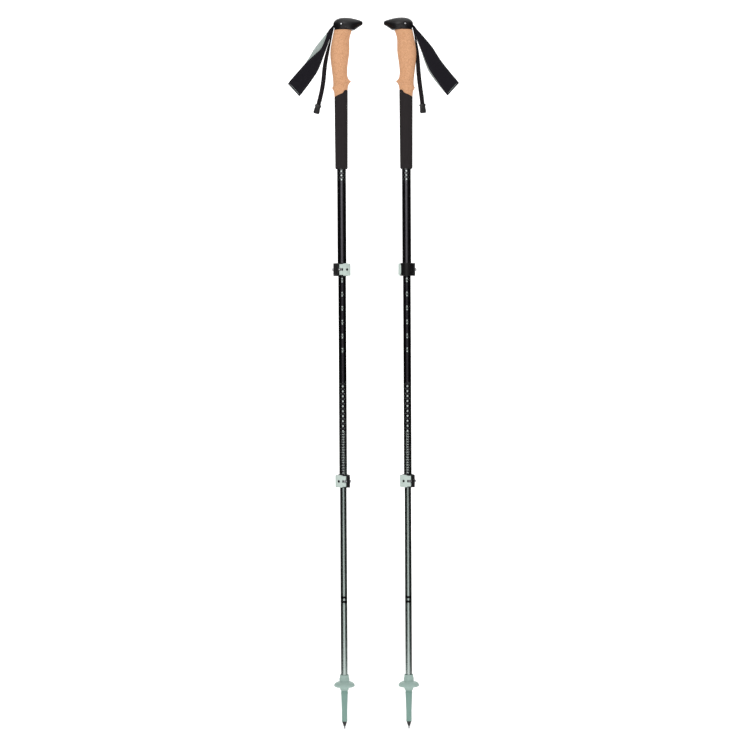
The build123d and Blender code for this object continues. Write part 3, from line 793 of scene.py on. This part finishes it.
# %% Stitches
sewing = stitch_tree()
EDGE_ROWS = (-0.80, 0.80)
for side in SIDES:
    points, edges = [], []
    used = frames[2 * STEPS:-2 * STEPS]
    for place in EDGE_ROWS:
        start = len(points)
        points += [on_pole(side, *(middle + across * place + out * (WEBBING_THICK / 2 + 0.05)))
                   for middle, across, out in used]
        edges += [(start + i, start + i + 1) for i in range(len(used) - 1)]
    stitches = grown(f"{side}_strap_stitches", points, edges, sewing, Material=thread)
    settle(stitches, f"{side}_strap", "webbing")
points_a_stitch = STITCH_SEGMENTS * (STITCH_RINGS - 1) + 2
print("stitches a strap:", len(stitches.data.vertices) // points_a_stitch)


# %% [markdown]
# ## Grip, foam and cap
# These three are thick mouldings with soft edges. An even mesh of the solid, relaxed a little, gives
# the edge its real roundness, and the cork's surface is then pushed in and out by a tenth of a
# millimetre in patches the size of its granules.

# %% Grips
CORK_RELIEF = 0.11 * MM


def roughened(piece, size, depth):
    """Moves every point along its normal by a smooth noise with patches of that size."""
    normals = [vertex.normal.copy() for vertex in piece.data.vertices]
    for vertex, normal in zip(piece.data.vertices, normals):
        vertex.co += normal * depth * noise.noise(vertex.co / size)


for side in SIDES:
    grip = softened(f"{side}_cork_grip", f"{side}_cork", cork, 0.8 * MM, 3)
    roughened(grip, 1.6 * MM, CORK_RELIEF)
    settle(grip, f"{side}_grip_section", "cork", f"{side}_cork_grip")
    sleeve = softened(f"{side}_foam_sleeve", f"{side}_foam", foam, 0.8 * MM, 3)
    settle(sleeve, f"{side}_grip_section", "foam", f"{side}_foam_sleeve")
    cap = softened(f"{side}_grip_cap", f"{side}_cap", cap_black, 0.6 * MM, 5)
    settle(cap, f"{side}_grip_section", "cap_rubber", f"{side}_grip_cap")
print("cork faces:", len(grip.data.polygons), "cap faces:", len(cap.data.polygons))


# %% [markdown]
# ## Locks and baskets
# The collars, levers and baskets are small mouldings, so they get the same treatment with a finer
# mesh. A round dark badge, plain and a little sunk into the light plastic, sits on each lever.

# %% Locks and baskets
for side in SIDES:
    for lock, body in (("upper", "grip_section"), ("lower", "middle_section")):
        collar = softened(f"{side}_{lock}_clamp", f"{side}_{lock}_collar", lock_black, 0.4 * MM, 2)
        settle(collar, f"{side}_{body}", "lock_body", f"{side}_{lock}_clamp")
        lever = softened(f"{side}_{lock}_lever", f"{side}_{lock}_lock_lever", mint, 0.35 * MM, 4)
        settle(lever, f"{side}_{lock}_lever", "lock_lever", f"{side}_{lock}_lever")
    dish = softened(f"{side}_basket", f"{side}_snow_basket", basket_green, 0.45 * MM, 3)
    settle(dish, f"{side}_basket", "basket_plastic", f"{side}_basket")
print("lever faces:", len(lever.data.polygons))


# %% Badges
# shaft radius in millimetres, and the badge's direction round the shaft in degrees, on the left pole
BADGES = {"upper": (8.0, -53.0), "lower": (7.0, -123.0)}
BADGE_R, LEVER_OUTER, BADGE_SIDES = 2.3, 7.3, 32


def badge(side, lock):
    """A thin round disc, bent to the lever's outer face."""
    shaft_r, direction = BADGES[lock]
    low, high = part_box(f"{side}_{lock}_hinge_pin")
    turned = direction + (180 if (side, lock) == ("right", "upper") else 0)
    rows = []
    for out, size in ((-0.25, 1.0), (0.12, 1.0), (0.22, 0.86)):
        radius = shaft_r + LEVER_OUTER + out
        row = []
        for step in range(BADGE_SIDES):
            angle = 2 * math.pi * step / BADGE_SIDES
            bend = math.radians(turned) + BADGE_R * size * math.cos(angle) / radius
            row.append(Vector((axis_x[side] + radius * math.cos(bend) * MM, radius * math.sin(bend) * MM,
                               (low[2] + high[2]) / 2 + BADGE_R * size * math.sin(angle) * MM)))
        rows.append(row)
    piece = skin(f"{side}_{lock}_lever_badge", rows, lock_black)
    settle(piece, f"{side}_{lock}_lever", "lock_body")


for side in SIDES:
    for lock in BADGES:
        badge(side, lock)
print("badges:", len(BADGES) * len(SIDES))


# %% [markdown]
# ## The studio
# A white floor and backdrop, a large soft light in front, a weaker one overhead and an even white
# sky. Round metal shows what stands beside it, so two dark cards, seen only in reflections, give the
# shafts their dark edges, as they would in a real studio.

# %% The studio
STUDIO_HALF, BACKDROP_Y = 6, 3               # metres
CARD_X, CARD_REACH, CARD_TOP = 0.4, 0.9, 1.5
WHITE, BLACK = (0.9, 0.9, 0.9), (0.01, 0.01, 0.01)
SKY_STRENGTH = 0.62


def stage_plane(name, corners, colour, glow=0.0):
    """A sheet of the studio. A white one is lit evenly, as a back-lit paper is."""
    material = Finish(name, colour, 0.9, Emission_Color=(1, 1, 1, 1), Emission_Strength=glow)
    material.bump(material.grain(40.0), 0.0002, 0.1)
    plane = new_piece(name, corners, [(0, 1, 2, 3)], material.material)
    return plane


floor_z = cad_bounds[0][2] - 0.0002
wide = STUDIO_HALF
ground = [(-wide, -wide, floor_z), (wide, -wide, floor_z), (wide, wide, floor_z), (-wide, wide, floor_z)]
stage_plane("floor", ground, WHITE, 0.35)
wall = [(-wide, BACKDROP_Y, -1), (wide, BACKDROP_Y, -1), (wide, BACKDROP_Y, 6), (-wide, BACKDROP_Y, 6)]
stage_plane("backdrop", wall, WHITE, 0.6)

for name, x in (("left card", -CARD_X), ("right card", CARD_X)):
    corners = [(x, -CARD_REACH, 0.0), (x, CARD_REACH, 0.0),
               (x, CARD_REACH, CARD_TOP), (x, -CARD_REACH, CARD_TOP)]
    card = stage_plane(name, corners, BLACK)
    card.visible_camera = card.visible_diffuse = card.visible_shadow = False


def soft_light(name, place, size, power):
    light = bpy.data.objects.new(name, bpy.data.lights.new(name, "AREA"))
    light.data.shape, light.data.size, light.data.size_y = "RECTANGLE", *size
    light.data.energy = power
    light.location = place
    light.rotation_euler = (aim - Vector(place)).to_track_quat("-Z", "Y").to_euler()
    bpy.context.collection.objects.link(light)


soft_light("key", (-0.5, -2.4, 2.2), (0.8, 2.0), 16)
soft_light("top", (0.3, -0.4, 3.2), (2.0, 2.0), 12)

world = bpy.data.worlds.new("studio")
world.use_nodes = True
world.node_tree.nodes["Background"].inputs["Color"].default_value = (1, 1, 1, 1)
world.node_tree.nodes["Background"].inputs["Strength"].default_value = SKY_STRENGTH
bpy.context.scene.world = world
bpy.context.scene.view_settings.view_transform = "Standard"
